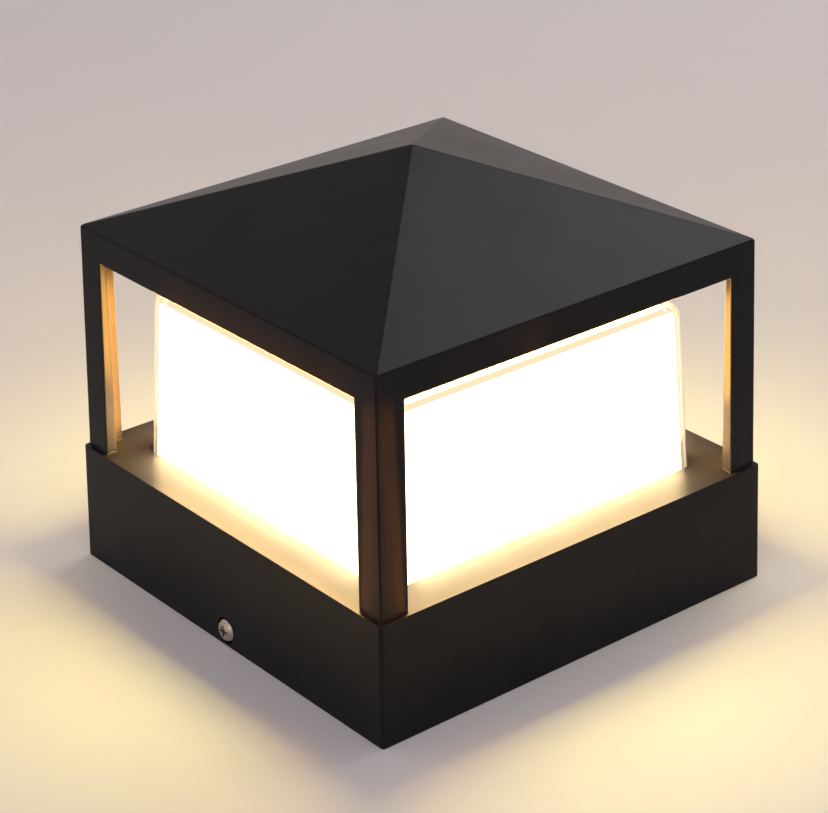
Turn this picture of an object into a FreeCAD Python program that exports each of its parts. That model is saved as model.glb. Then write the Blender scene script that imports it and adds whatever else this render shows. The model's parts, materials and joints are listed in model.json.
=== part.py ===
"""Deck post cap light: a square, black powder-coated lantern that stands on a post or pillar.

A steel plate is anchored to the post. The cast base drops over it and is held by two side screws.
A cast lantern frame, four L-shaped legs under a hipped roof, is screwed to the base from below.
A clear cover with an opal liner stands between the legs, clamped in the base by the light tray.

Millimetres, +Z up. The origin is the centre of the base's lower edge, on top of the post.
"""
import FreeCAD, Part
import math
import os

import Sketcher
from FreeCAD import Placement, Rotation, Vector

SIZES = {
    # cast base
    "base_width": 200,
    "base_height": 52,
    "base_wall": 3,
    "base_top_wall": 3.5,
    "base_corner_radius": 2.2,
    "base_edge_radius": 0.8,
    "draft_angle": 1.3,
    # cast lantern frame
    "foot_gasket_thickness": 0.8,
    "frame_inset": 1.7,
    "frame_corner_radius": 1.4,
    "leg_width": 13.2,
    "leg_foot_wall": 5.2,
    "window_height": 84.7,
    "fascia_height": 13,
    "roof_rise": 36.5,
    "roof_wall": 3,
    "roof_tip_width": 1.6,
    "eave_edge_radius": 0.6,
    "leg_inner_radius": 5,
    "frame_screw_inset": 4.5,
    "frame_screw_grip": 10,
    # clear cover and opal liner
    "cover_margin": 18.92,
    "cover_height": 74.8,
    "cover_draft_angle": 2.8,
    "cover_wall": 2.5,
    "cover_corner_radius": 7,
    "cover_edge_radius": 4,
    "flange_lap": 4.8,
    "flange_thickness": 3,
    "aperture_gap": 0.8,
    "cover_gasket_thickness": 1.5,
    "gasket_gap": 0.4,
    "opal_gap": 0.3,
    "opal_head_gap": 2,
    "opal_wall": 2,
    # light tray and light engine
    "tray_thickness": 2,
    "tray_gap": 0.8,
    "tray_notch_gap": 2,
    "tray_boss_radius": 4.8,
    "tray_boss_offset": 45,
    "tray_boss_bite": 0.2,
    "led_board_margin": 15.2,
    "led_board_thickness": 1.6,
    "led_board_screw_inset": 6,
    "led_margin": 15.05,
    "led_rows": 6,
    "led_length": 3.5,
    "led_width": 2.8,
    "led_thickness": 0.8,
    # driver under the tray
    "driver_length": 100,
    "driver_width": 46,
    "driver_depth": 22,
    "driver_foot_lap": 12,
    "driver_foot_thickness": 2,
    "driver_screw_inset": 4,
    "driver_groove_width": 3,
    "driver_groove_pitch": 9,
    "driver_groove_depth": 1.2,
    "end_cap_thickness": 3,
    "lead_outlet_radius": 4.5,
    "lead_outlet_length": 4,
    # mounting plate and what is on it
    "foam_thickness": 1,
    "foam_width": 12,
    "plate_side_gap": 12,
    "plate_thickness": 2,
    "plate_corner_radius": 6,
    "plate_bend_radius": 0.6,
    "tab_width": 26,
    "tab_height": 13,
    "tab_gap": 0.5,
    "side_pad_thickness": 2.3,
    "side_pad_width": 24,
    "side_pad_height": 15,
    "side_screw_height": 6.8,
    "side_counterbore_depth": 1.7,
    "side_counterbore_diameter": 11.2,
    "collar_diameter": 8,
    "collar_length": 2.5,
    "anchor_spacing": 120,
    "anchor_slot_width": 5.5,
    "anchor_slot_length": 13,
    "cable_hole_diameter": 20,
    "cable_bore_diameter": 10,
    "grommet_lip": 3,
    "grommet_lip_thickness": 0.8,
    "grommet_collar_height": 3,
    "grommet_collar_wall": 2,
    "terminal_length": 32,
    "terminal_width": 18,
    "terminal_height": 14,
    "terminal_base_height": 9,
    "terminal_ridge_width": 13,
    "terminal_pitch": 10,
    "terminal_from_centre": 58,
    "terminal_bore_height": 5.5,
    "terminal_wire_bore": 3.4,
    "terminal_clamp_spacing": 7,
    "earth_x": 45,
    "earth_y": -30,
    "earth_lug_radius": 4.2,
    "earth_lug_thickness": 0.8,
    "earth_barrel_radius": 1.8,
    "earth_barrel_length": 7,
    "earth_neck_length": 5,
    "earth_washer_thickness": 0.8,
    # screws: head diameter, head height, shank diameter, length under the head
    "m5_head_diameter": 9.5,
    "m5_head_height": 2.7,
    "m5_diameter": 5,
    "m5_length": 12,
    "m4_head_diameter": 8,
    "m4_head_height": 2.6,
    "m4_diameter": 4,
    "m4_length": 8,
    "m3_head_diameter": 5.5,
    "m3_head_height": 2,
    "m3_diameter": 3,
    "m3_length": 4,
    "clamp_screw_diameter": 3.4,
    "clamp_screw_length": 4.5,
    "clamp_slot_width": 0.7,
    "clamp_slot_depth": 1,
    "clamp_sunk": 1,
    "thread_gap": 0.05,
    "clearance_gap": 0.3,
    "cut_margin": 1,
    # rubber grommet and leads through the tray
    "lead_grommet_radius": 4.5,
    "lead_grommet_bore": 2.6,
    "lead_grommet_lip": 1.5,
    "lead_grommet_lip_thickness": 1,
    "lead_grommet_inset": 15,
    "lead_radius": 0.9,
    "mains_lead_radius": 1.1,
    "lead_spread": 1.4,
    "lead_pad_inset": 4.6,
}

# Places and sizes that follow from the driving ones.
PLACES = {
    "draft": "tan(Sizes.draft_angle)",
    "base_half": "Sizes.base_width / 2",
    "base_top_half": "base_half - Sizes.base_height * draft",
    "base_inner_half": "base_half - Sizes.base_wall",
    "base_ceiling": "Sizes.base_height - Sizes.base_top_wall",
    "base_ceiling_half": "base_inner_half - base_ceiling * draft",
    "foot_level": "Sizes.base_height + Sizes.foot_gasket_thickness",
    "foot_half": "base_top_half - Sizes.frame_inset",
    "frame_inner_half": "foot_half - Sizes.leg_foot_wall",
    "window_top": "foot_level + Sizes.window_height",
    "window_foot_half": "foot_half - Sizes.leg_width",
    "window_top_half": "window_foot_half - Sizes.window_height * draft",
    "eave_level": "window_top + Sizes.fascia_height",
    "eave_half": "foot_half - (eave_level - foot_level) * draft",
    "apex_level": "eave_level + Sizes.roof_rise",
    "roof_hollow_half": "frame_inner_half - Sizes.leg_inner_radius * (1 - sqrt(0.5))",
    "roof_slope": "Sizes.roof_rise / (eave_half - Sizes.roof_tip_width / 2)",
    "roof_tip_level": "apex_level - Sizes.roof_wall * sqrt(1 + roof_slope * roof_slope)",
    "hollow_level": "roof_tip_level - roof_slope * (roof_hollow_half - Sizes.roof_tip_width / 2)",
    "frame_screw_place": "foot_half - Sizes.frame_screw_inset",
    "cover_gasket_level": "base_ceiling - Sizes.cover_gasket_thickness",
    "tray_top": "cover_gasket_level - Sizes.flange_thickness",
    "cover_draft": "tan(Sizes.cover_draft_angle)",
    "cover_foot_half": "base_top_half - Sizes.cover_margin",
    "cover_top": "cover_gasket_level + Sizes.cover_height",
    "cover_top_half": "cover_foot_half - Sizes.cover_height * cover_draft",
    "cover_inner_top": "cover_top - Sizes.cover_wall",
    "cover_inner_foot_half": "cover_foot_half - Sizes.cover_wall + Sizes.flange_thickness * cover_draft",
    "cover_inner_top_half": "cover_inner_foot_half - (cover_inner_top - tray_top) * cover_draft",
    "cover_inner_radius": "Sizes.cover_corner_radius - Sizes.cover_wall",
    "aperture_half": "cover_foot_half + Sizes.aperture_gap",
    "aperture_radius": "Sizes.cover_corner_radius + Sizes.aperture_gap",
    "flange_half": "aperture_half + Sizes.flange_lap",
    "flange_radius": "Sizes.cover_corner_radius",
    "opal_foot_half": "cover_inner_foot_half - Sizes.opal_gap",
    "opal_top": "cover_inner_top - Sizes.opal_head_gap",
    "opal_top_half": "opal_foot_half - (opal_top - tray_top) * cover_draft",
    "opal_radius": "cover_inner_radius - Sizes.opal_gap",
    "opal_inner_top": "opal_top - Sizes.opal_wall",
    "tray_under": "tray_top - Sizes.tray_thickness",
    "tray_half": "base_inner_half - tray_top * draft - Sizes.tray_gap",
    "tray_boss_place": "base_ceiling_half - Sizes.tray_boss_radius + Sizes.tray_boss_bite",
    "led_board_top": "tray_top + Sizes.led_board_thickness",
    "led_board_half": "opal_foot_half - Sizes.opal_wall - Sizes.led_board_margin",
    "led_board_screw_place": "led_board_half - Sizes.led_board_screw_inset",
    "led_pitch": "2 * (led_board_half - Sizes.led_margin) / (Sizes.led_rows - 1)",
    "tray_grommet_place": "led_board_half + Sizes.led_board_margin / 2",
    "lead_grommet_x": "Sizes.driver_length / 2 - Sizes.lead_grommet_inset",
    "driver_top": "tray_under - Sizes.driver_foot_thickness",
    "driver_under": "driver_top - Sizes.driver_depth",
    "driver_middle": "driver_top - Sizes.driver_depth / 2",
    "driver_foot_half": "Sizes.driver_length / 2 + Sizes.driver_foot_lap",
    "driver_screw_place": "driver_foot_half - Sizes.driver_screw_inset",
    "outlet_end": "Sizes.driver_length / 2 + Sizes.end_cap_thickness + Sizes.lead_outlet_length",
    "plate_top": "Sizes.foam_thickness + Sizes.plate_thickness",
    "plate_half": "base_inner_half - Sizes.plate_side_gap",
    "side_pad_face": "base_inner_half - Sizes.side_pad_thickness",
    "tab_face": "side_pad_face - Sizes.tab_gap",
    "tab_bend": "Sizes.plate_bend_radius + Sizes.plate_thickness",
    "plate_edge": "tab_face - tab_bend",
    "tab_top": "Sizes.foam_thickness + Sizes.tab_height",
    "side_seat": "base_half - Sizes.side_counterbore_depth",
    "terminal_bore_level": "plate_top + Sizes.terminal_bore_height",
    "terminal_edge": "Sizes.terminal_width / 2 - Sizes.terminal_from_centre",
    "earth_washer_level": "plate_top + Sizes.earth_lug_thickness",
    "earth_head_level": "earth_washer_level + Sizes.earth_washer_thickness",
    "earth_barrel_start": "Sizes.earth_x - Sizes.earth_lug_radius - Sizes.clearance_gap",
    "earth_barrel_level": "plate_top + Sizes.earth_barrel_radius + Sizes.clearance_gap",
}

doc = FreeCAD.newDocument("DeckPostCapLight")


def fill_sheet(name, cells):
    """A spreadsheet with a name and a value on each row, the value's cell having that name as alias."""
    sheet = doc.addObject("Spreadsheet::Sheet", name)
    for row, (alias, content) in enumerate(cells.items(), start=1):
        sheet.set(f"A{row}", alias)
        sheet.set(f"B{row}", content)
        sheet.setAlias(f"B{row}", alias)
    return sheet


sizes = fill_sheet("Sizes", {alias: str(number) for alias, number in SIZES.items()})
places = fill_sheet("Places", {alias: "=" + formula for alias, formula in PLACES.items()})
doc.recompute()


def size(expression):
    """The number that an expression gives now; names without a sheet are driving sizes or places."""
    return float(sizes.evalExpression(full(expression)))


def full(expression):
    """The same expression with each bare name bound to the sheet that holds it."""
    words = []
    word = ""
    for character in str(expression) + " ":
        if character.isalnum() or character in "_.":
            word += character
            continue
        if word in SIZES:
            word = "Sizes." + word
        elif word in PLACES:
            word = "Places." + word
        words.append(word + character)
        word = ""
    return "".join(words).strip()


def new_body(label):
    body = doc.addObject("PartDesign::Body", label)
    body.Label = label
    return body


def new_sketch(body, name, plane="XY_Plane", offset=None):
    """An empty sketch on one of the body's own origin planes, or parallel to it at an offset."""
    sketch = body.newObject("Sketcher::SketchObject", name)
    origin_plane = next(o for o in body.Origin.OriginFeatures if o.Role == plane)
    sketch.AttachmentSupport = [(origin_plane, "")]
    sketch.MapMode = "FlatFace"
    if offset is not None:
        sketch.setExpression("AttachmentOffset.Base.z", full(offset))
    return sketch


def bind(sketch, kind, places_on_geometry, expression):
    """A dimension of the sketch that follows an expression."""
    index = sketch.addConstraint(Sketcher.Constraint(kind, *places_on_geometry, size(expression)))
    sketch.setExpression(f"Constraints[{index}]", full(expression))


def draw_box(sketch, width, depth, radius, centre=("0", "0")):
    """A rectangle with round corners about a centre point."""
    x, y = size(centre[0]), size(centre[1])
    a, b, r = size(width) / 2, size(depth) / 2, size(radius)
    corners = [(x + a - r, y - b + r), (x + a - r, y + b - r), (x - a + r, y + b - r), (x - a + r, y - b + r)]
    ends = [
        ((x - a + r, y - b), (x + a - r, y - b)),
        ((x + a, y - b + r), (x + a, y + b - r)),
        ((x + a - r, y + b), (x - a + r, y + b)),
        ((x - a, y + b - r), (x - a, y - b + r)),
    ]
    sides = [sketch.addGeometry(Part.LineSegment(Vector(*p, 0), Vector(*q, 0))) for p, q in ends]
    arcs = []
    for turn, corner in enumerate(corners):
        circle = Part.Circle(Vector(*corner, 0), Vector(0, 0, 1), r)
        start = math.radians(90 * turn - 90)
        arcs.append(sketch.addGeometry(Part.ArcOfCircle(circle, start, start + math.pi / 2)))
    for turn in range(4):
        sketch.addConstraint(Sketcher.Constraint("Tangent", sides[turn], 2, arcs[turn], 1))
        sketch.addConstraint(Sketcher.Constraint("Tangent", arcs[turn], 2, sides[(turn + 1) % 4], 1))
        sketch.addConstraint(Sketcher.Constraint("Vertical" if turn % 2 else "Horizontal", sides[turn]))
        if turn:
            sketch.addConstraint(Sketcher.Constraint("Equal", arcs[0], arcs[turn]))
    bind(sketch, "Radius", (arcs[0],), radius)
    bind(sketch, "DistanceX", (sides[3], 1, sides[1], 1), width)
    bind(sketch, "DistanceY", (sides[0], 1, sides[2], 1), depth)
    bind(sketch, "DistanceX", (-1, 1, sides[1], 1), f"{centre[0]} + ({width}) / 2")
    bind(sketch, "DistanceY", (-1, 1, sides[2], 1), f"{centre[1]} + ({depth}) / 2")


def draw_circle(sketch, radius, centre=("0", "0")):
    place = Vector(size(centre[0]), size(centre[1]), 0)
    ring = sketch.addGeometry(Part.Circle(place, Vector(0, 0, 1), size(radius)))
    bind(sketch, "Radius", (ring,), radius)
    bind(sketch, "DistanceX", (-1, 1, ring, 3), centre[0])
    bind(sketch, "DistanceY", (-1, 1, ring, 3), centre[1])


def draw_outline(sketch, corners):
    """A closed outline of straight sides; each corner is a pair of expressions."""
    points = [Vector(size(x), size(y), 0) for x, y in corners]
    sides = []
    for here, there in zip(points, points[1:] + points[:1]):
        sides.append(sketch.addGeometry(Part.LineSegment(here, there)))
    for index, side in enumerate(sides):
        sketch.addConstraint(Sketcher.Constraint("Coincident", sides[index - 1], 2, side, 1))
        bind(sketch, "DistanceX", (-1, 1, side, 1), corners[index][0])
        bind(sketch, "DistanceY", (-1, 1, side, 1), corners[index][1])


def draw_rectangle(sketch, width, depth, centre=("0", "0")):
    """A rectangle with sharp corners about a centre point."""
    left, right = f"{centre[0]} - ({width}) / 2", f"{centre[0]} + ({width}) / 2"
    low, high = f"{centre[1]} - ({depth}) / 2", f"{centre[1]} + ({depth}) / 2"
    draw_outline(sketch, [(left, low), (right, low), (right, high), (left, high)])


def draw_slot(sketch, length, width, centre):
    """A slot along X with round ends."""
    x, y, r = size(centre[0]), size(centre[1]), size(width) / 2
    reach = size(length) / 2 - r
    low = sketch.addGeometry(Part.LineSegment(Vector(x - reach, y - r, 0), Vector(x + reach, y - r, 0)))
    high = sketch.addGeometry(Part.LineSegment(Vector(x + reach, y + r, 0), Vector(x - reach, y + r, 0)))
    right_end = Part.Circle(Vector(x + reach, y, 0), Vector(0, 0, 1), r)
    left_end = Part.Circle(Vector(x - reach, y, 0), Vector(0, 0, 1), r)
    right = sketch.addGeometry(Part.ArcOfCircle(right_end, -math.pi / 2, math.pi / 2))
    left = sketch.addGeometry(Part.ArcOfCircle(left_end, math.pi / 2, 3 * math.pi / 2))
    for first, second in ((low, right), (right, high), (high, left), (left, low)):
        sketch.addConstraint(Sketcher.Constraint("Tangent", first, 2, second, 1))
    sketch.addConstraint(Sketcher.Constraint("Horizontal", low))
    bind(sketch, "Radius", (right,), f"({width}) / 2")
    bind(sketch, "DistanceX", (-1, 1, right, 3), f"{centre[0]} + ({length} - {width}) / 2")
    bind(sketch, "DistanceX", (-1, 1, left, 3), f"{centre[0]} - ({length} - {width}) / 2")
    bind(sketch, "DistanceY", (-1, 1, right, 3), centre[1])


def extrude(body, name, sketch, length=None, cut=False, reverse=False, both_ways=False):
    """A pad or a pocket of the sketch; a pocket with no length goes through everything."""
    feature = body.newObject("PartDesign::Pocket" if cut else "PartDesign::Pad", name)
    feature.Profile = sketch
    if length is None:
        feature.Type = "ThroughAll"
    else:
        feature.setExpression("Length", full(length))
    feature.Reversed = reverse
    if both_ways:
        feature.SideType = "Symmetric"
    doc.recompute()
    return feature


def square_sketch(body, name, half, radius, level):
    sketch = new_sketch(body, name, offset=level)
    draw_box(sketch, f"2 * ({half})", f"2 * ({half})", radius)
    return sketch


def hipped_block(body, name, half, level, top_half, top_level, cut=False):
    """A square block with sharp corners and flat sides that goes from one half width to another."""
    block = body.newObject("PartDesign::SubtractiveWedge" if cut else "PartDesign::AdditiveWedge", name)
    upright = next(o for o in body.Origin.OriginFeatures if o.Role == "XZ_Plane")
    block.AttachmentSupport = [(upright, "")]
    block.MapMode = "FlatFace"
    ends = {"Ymin": level, "Ymax": top_level}
    for low, high, reach in (("Xmin", "Xmax", half), ("Zmin", "Zmax", half),
                             ("X2min", "X2max", top_half), ("Z2min", "Z2max", top_half)):
        ends[low] = f"-({reach})"
        ends[high] = reach
    for side, expression in ends.items():
        block.setExpression(side, full(expression))
    doc.recompute()
    return block


def drafted_block(body, name, half, radius, level, height, draft_angle, cut=False):
    """A square block with round corners that narrows upwards by a draft angle."""
    foot = square_sketch(body, f"{name}_foot", half, radius, level)
    block = extrude(body, name, foot, height, cut=cut, reverse=cut)
    block.setExpression("TaperAngle", full(f"-{draft_angle}"))
    doc.recompute()
    return block


def revolve(body, name, sketch):
    feature = body.newObject("PartDesign::Revolution", name)
    feature.Profile = sketch
    feature.ReferenceAxis = (sketch, ["V_Axis"])
    feature.Angle = 360
    doc.recompute()
    return feature


def turn_copies(body, name, originals, count):
    """Copies of features, evenly spaced about the vertical axis."""
    pattern = body.newObject("PartDesign::PolarPattern", name)
    pattern.Originals = originals
    z_axis = next(o for o in body.Origin.OriginFeatures if o.Role == "Z_Axis")
    pattern.Axis = (z_axis, [""])
    pattern.Angle = 360
    pattern.Occurrences = count
    body.Tip = pattern
    doc.recompute()
    return pattern


def mirror_copies(body, name, originals, plane="XZ_Plane"):
    """Copies of features on the other side of one of the body's own planes."""
    pattern = body.newObject("PartDesign::Mirrored", name)
    pattern.Originals = originals
    pattern.MirrorPlane = (next(o for o in body.Origin.OriginFeatures if o.Role == plane), [""])
    body.Tip = pattern
    doc.recompute()
    return pattern


def round_edges(body, name, base, radius, wanted):
    """A fillet on each edge of the base feature whose middle and vertices pass the test."""
    names = []
    for index, edge in enumerate(base.Shape.Edges, start=1):
        points = [vertex.Point for vertex in edge.Vertexes]
        if points and wanted(points):
            names.append(f"Edge{index}")
    fillet = body.newObject("PartDesign::Fillet", name)
    fillet.Base = (base, names)
    fillet.setExpression("Radius", full(radius))
    doc.recompute()
    return fillet


def at_level(level):
    return lambda points: all(abs(point.z - level) < 0.001 for point in points)


def on_corner_line(points):
    """True for an edge that lies in a vertical plane through two opposite corners."""
    return all(abs(abs(point.x) - abs(point.y)) < 0.001 for point in points) and points[0].z != points[-1].z


def lantern_frame():
    """One casting: hipped roof, fascia and four L-shaped legs, hollow from below and drafted."""
    body = new_body("lantern_frame")
    hipped_block(body, "frame_walls", "foot_half", "foot_level", "eave_half", "eave_level")
    roof = hipped_block(body, "frame_roof", "eave_half", "eave_level", "roof_tip_width / 2", "apex_level")
    round_edges(body, "corner_edges", roof, "frame_corner_radius", on_corner_line)
    hollow = square_sketch(body, "hollow_outline", "frame_inner_half", "leg_inner_radius", "foot_level")
    extrude(body, "frame_hollow", hollow, "hollow_level - foot_level", cut=True, reverse=True)
    inside_tip = ("roof_tip_width / 2", "roof_tip_level")
    hipped_block(body, "roof_hollow", "roof_hollow_half", "hollow_level", *inside_tip, cut=True)
    for plane in ("XZ_Plane", "YZ_Plane"):
        window = new_sketch(body, f"window_{plane}", plane)
        below = "foot_level - cut_margin"
        corners = [("-window_foot_half", below), ("window_foot_half", below)]
        corners += [("window_top_half", "window_top"), ("-window_top_half", "window_top")]
        draw_outline(window, corners)
        extrude(body, f"windows_{plane}", window, "2 * base_width", cut=True, both_ways=True)
    hole_sketch = new_sketch(body, "foot_hole_sketch", offset="foot_level")
    draw_circle(hole_sketch, "m3_diameter / 2 + thread_gap", ("frame_screw_place", "frame_screw_place"))
    hole = extrude(body, "foot_hole", hole_sketch, "frame_screw_grip", cut=True, reverse=True)
    turn_copies(body, "foot_holes", [hole], 4)
    return body


def base_housing():
    """One casting, open below: a drafted skirt under a top plate with the square aperture of the cover."""
    body = new_body("base_housing")
    skirt = drafted_block(body, "skirt", "base_half", "base_corner_radius", "0", "base_height", "draft_angle")
    round_edges(body, "top_edge", skirt, "base_edge_radius", at_level(size("base_height")))
    inside = ("base_inner_half", "base_wall", "0")
    drafted_block(body, "base_hollow", *inside, "base_ceiling", "draft_angle", cut=True)
    aperture = square_sketch(body, "aperture_sketch", "aperture_half", "aperture_radius", "base_height")
    extrude(body, "aperture", aperture, "base_top_wall + cut_margin", cut=True)

    boss_sketch = new_sketch(body, "tray_boss_sketch", offset="tray_top")
    hole_sketch = new_sketch(body, "tray_hole_sketch", offset="tray_top")
    centre = ("tray_boss_place", "tray_boss_offset")
    draw_circle(boss_sketch, "tray_boss_radius", centre)
    draw_circle(hole_sketch, "m4_diameter / 2 + thread_gap", centre)
    boss = extrude(body, "tray_boss", boss_sketch, "base_ceiling - tray_top + 0.5")
    hole = extrude(body, "tray_hole", hole_sketch, "m4_length - tray_thickness + 0.5", cut=True, reverse=True)
    turn_copies(body, "tray_bosses", [boss, hole], 4)

    frame_holes = new_sketch(body, "frame_hole_sketch", offset="base_height")
    draw_circle(frame_holes, "m3_diameter / 2 + clearance_gap", ("frame_screw_place", "frame_screw_place"))
    frame_hole = extrude(body, "frame_hole", frame_holes, "base_top_wall + cut_margin", cut=True)
    turn_copies(body, "frame_holes", [frame_hole], 4)

    pad_sketch = new_sketch(body, "side_pad_sketch", "XZ_Plane", "side_pad_face")
    draw_rectangle(pad_sketch, "side_pad_width", "side_pad_height", ("0", "side_pad_height / 2"))
    pad = extrude(body, "side_pad", pad_sketch, "base_wall + side_pad_thickness - 1")
    seat_sketch = new_sketch(body, "side_seat_sketch", "XZ_Plane", "side_seat")
    draw_circle(seat_sketch, "side_counterbore_diameter / 2", ("0", "side_screw_height"))
    depth = "side_counterbore_depth + cut_margin"
    seat = extrude(body, "side_seat", seat_sketch, depth, cut=True, reverse=True)
    mirror_copies(body, "side_pads", [pad, seat])
    bore_sketch = new_sketch(body, "side_bore_sketch", "XZ_Plane")
    draw_circle(bore_sketch, "m5_diameter / 2 + clearance_gap", ("0", "side_screw_height"))
    extrude(body, "side_bores", bore_sketch, "2 * base_width", cut=True, both_ways=True)
    return body


def foot_gaskets():
    """Four thin silicone pads, one under each leg, with the leg's L-shaped outline."""
    body = new_body("foot_gasket_master")
    sketch = new_sketch(body, "pad_outline", offset="base_height")
    edge = "foot_half - gasket_gap"
    start = "window_foot_half"
    inner = "frame_inner_half"
    corner = f"{inner} - leg_inner_radius * (2 - sqrt(2))"
    draw_outline(sketch, [
        (edge, start), (edge, edge), (start, edge), (start, inner), (corner, inner), (inner, corner),
        (inner, start),
    ])
    extrude(body, "pad", sketch, "foot_gasket_thickness")
    hole_sketch = new_sketch(body, "pad_hole_sketch", offset="foot_level")
    draw_circle(hole_sketch, "m3_diameter / 2 + clearance_gap", ("frame_screw_place", "frame_screw_place"))
    extrude(body, "pad_hole", hole_sketch, "foot_gasket_thickness + cut_margin", cut=True)
    return group("foot_gaskets", body, [Placement(Vector(), Rotation(90 * turn, 0, 0)) for turn in range(4)])


def clear_cover():
    """Moulded clear cover: a drafted square box, open below, with a flange that the base clamps."""
    body = new_body("clear_cover")
    foot = ("cover_foot_half", "cover_corner_radius", "cover_gasket_level")
    shell = drafted_block(body, "cover_shell", *foot, "cover_height", "cover_draft_angle")
    round_edges(body, "cover_edge", shell, "cover_edge_radius", at_level(size("cover_top")))
    flange = square_sketch(body, "flange_sketch", "flange_half", "flange_radius", "tray_top")
    extrude(body, "flange", flange, "flange_thickness")
    inside = ("cover_inner_foot_half", "cover_inner_radius", "tray_top")
    drafted_block(body, "cover_hollow", *inside, "cover_inner_top - tray_top", "cover_draft_angle", cut=True)
    return body


def opal_diffuser():
    """Moulded opal liner inside the clear cover, standing on the tray."""
    body = new_body("opal_diffuser")
    outside = ("opal_foot_half", "opal_radius", "tray_top")
    drafted_block(body, "opal_shell", *outside, "opal_top - tray_top", "cover_draft_angle")
    inside = ("opal_foot_half - opal_wall", "opal_radius", "tray_top")
    drafted_block(body, "opal_hollow", *inside, "opal_inner_top - tray_top", "cover_draft_angle", cut=True)
    return body


def cover_gasket():
    """Flat silicone ring between the cover's flange and the underside of the base's top plate."""
    body = new_body("cover_gasket")
    ring_half = "flange_half - gasket_gap"
    outer = square_sketch(body, "ring_outer", ring_half, "flange_radius", "cover_gasket_level")
    extrude(body, "ring", outer, "cover_gasket_thickness")
    inner = square_sketch(body, "ring_inner", "aperture_half", "aperture_radius", "base_ceiling")
    extrude(body, "ring_hole", inner, "cover_gasket_thickness + cut_margin", cut=True)
    return body


def led_tray():
    """Sheet aluminium tray that closes the base, clamps the cover and takes the heat of the light engine."""
    body = new_body("led_tray")
    outline = square_sketch(body, "tray_outline", "tray_half", "base_wall", "tray_under")
    extrude(body, "tray_sheet", outline, "tray_thickness")
    holes = new_sketch(body, "tray_edge_holes", offset="tray_top")
    draw_circle(holes, "m4_diameter / 2 + clearance_gap", ("tray_boss_place", "tray_boss_offset"))
    edge_holes = extrude(body, "tray_edge_hole", holes, "tray_thickness + cut_margin", cut=True)
    turn_copies(body, "tray_edge_holes_all", [edge_holes], 4)
    notch_sketch = new_sketch(body, "tray_notch_sketch", offset="tray_top")
    notch = ("side_pad_width + 2 * tray_notch_gap", "2 * (tray_half - side_pad_face + tray_notch_gap)")
    draw_rectangle(notch_sketch, *notch, ("0", "tray_half"))
    notches = extrude(body, "tray_notch", notch_sketch, "tray_thickness + cut_margin", cut=True)
    mirror_copies(body, "tray_notches", [notches])
    inner = new_sketch(body, "tray_inner_holes", offset="tray_top")
    for x in ("", "-"):
        for y in ("", "-"):
            centre = (f"{x}led_board_screw_place", f"{y}led_board_screw_place")
            draw_circle(inner, "m3_diameter / 2 + thread_gap", centre)
        draw_circle(inner, "m4_diameter / 2 + thread_gap", (f"{x}driver_screw_place", "0"))
    draw_circle(inner, "lead_grommet_radius", ("lead_grommet_x", "tray_grommet_place"))
    extrude(body, "tray_holes", inner, "tray_thickness + cut_margin", cut=True)
    return body


def led_board():
    """Aluminium-core circuit board under the liner, with a screw hole in each corner."""
    body = new_body("led_board")
    outline = new_sketch(body, "board_outline", offset="tray_top")
    draw_rectangle(outline, "2 * led_board_half", "2 * led_board_half")
    extrude(body, "board_sheet", outline, "led_board_thickness")
    holes = new_sketch(body, "board_holes", offset="led_board_top")
    for x in ("", "-"):
        for y in ("", "-"):
            centre = (f"{x}led_board_screw_place", f"{y}led_board_screw_place")
            draw_circle(holes, "m3_diameter / 2 + clearance_gap", centre)
    extrude(body, "board_screw_holes", holes, "led_board_thickness + cut_margin", cut=True)
    return body


def led_chips():
    """Square grid of surface-mounted warm white LED packages."""
    chip = doc.addObject("Part::Box", "led_chip_master")
    chip.setExpression("Length", full("led_length"))
    chip.setExpression("Width", full("led_width"))
    chip.setExpression("Height", full("led_thickness"))
    doc.recompute()
    rows = int(size("led_rows"))
    first = -size("led_pitch") * (rows - 1) / 2
    spots = []
    for row in range(rows):
        for column in range(rows):
            x = first + column * size("led_pitch") - size("led_length") / 2
            y = first + row * size("led_pitch") - size("led_width") / 2
            spots.append(Placement(Vector(x, y, size("led_board_top")), Rotation()))
    return group("led_chips", chip, spots)


def group(label, master, placements):
    """Equal separate solids made from one master, as one node."""
    node = doc.addObject("Part::Feature", label)
    node.Label = label
    copies = []
    for placement in placements:
        copy = master.Shape.copy()
        copy.Placement = placement.multiply(master.Shape.Placement)
        copies.append(copy)
    node.Shape = Part.makeCompound(copies)
    return node


def pan_screw(name, prefix, length, recessed=False):
    """A pan screw, head up, with the underside of its head at its origin; hidden ones have no recess."""
    body = new_body(name)
    shank, head = f"{prefix}_diameter / 2", f"{prefix}_head_diameter / 2"
    height = f"{prefix}_head_height"
    profile = new_sketch(body, f"{name}_profile", "XZ_Plane")
    crown = [(head, f"{height} * 0.45"), (f"{head} * 0.84", f"{height} * 0.82"), (f"{head} * 0.5", height)]
    if not recessed:
        crown = [(f"{head} * 0.8", height)]
    draw_outline(profile, [
        ("0", f"-({length})"), (shank, f"-({length})"), (shank, "0"), (head, "0"), *crown, ("0", height),
    ])
    revolve(body, f"{name}_turned", profile)
    if recessed:
        recess = new_sketch(body, f"{name}_recess", offset=height)
        arm, half = f"{head} * 0.52", f"{head} * 0.13"
        draw_outline(recess, [
            (half, f"-{arm}"), (half, f"-{half}"), (arm, f"-{half}"), (arm, half), (half, half), (half, arm),
            (f"-{half}", arm), (f"-{half}", half), (f"-{arm}", half), (f"-{arm}", f"-{half}"),
            (f"-{half}", f"-{half}"), (f"-{half}", f"-{arm}"),
        ])
        extrude(body, f"{name}_cross", recess, f"{height} * 0.6", cut=True)
    return body


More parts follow.
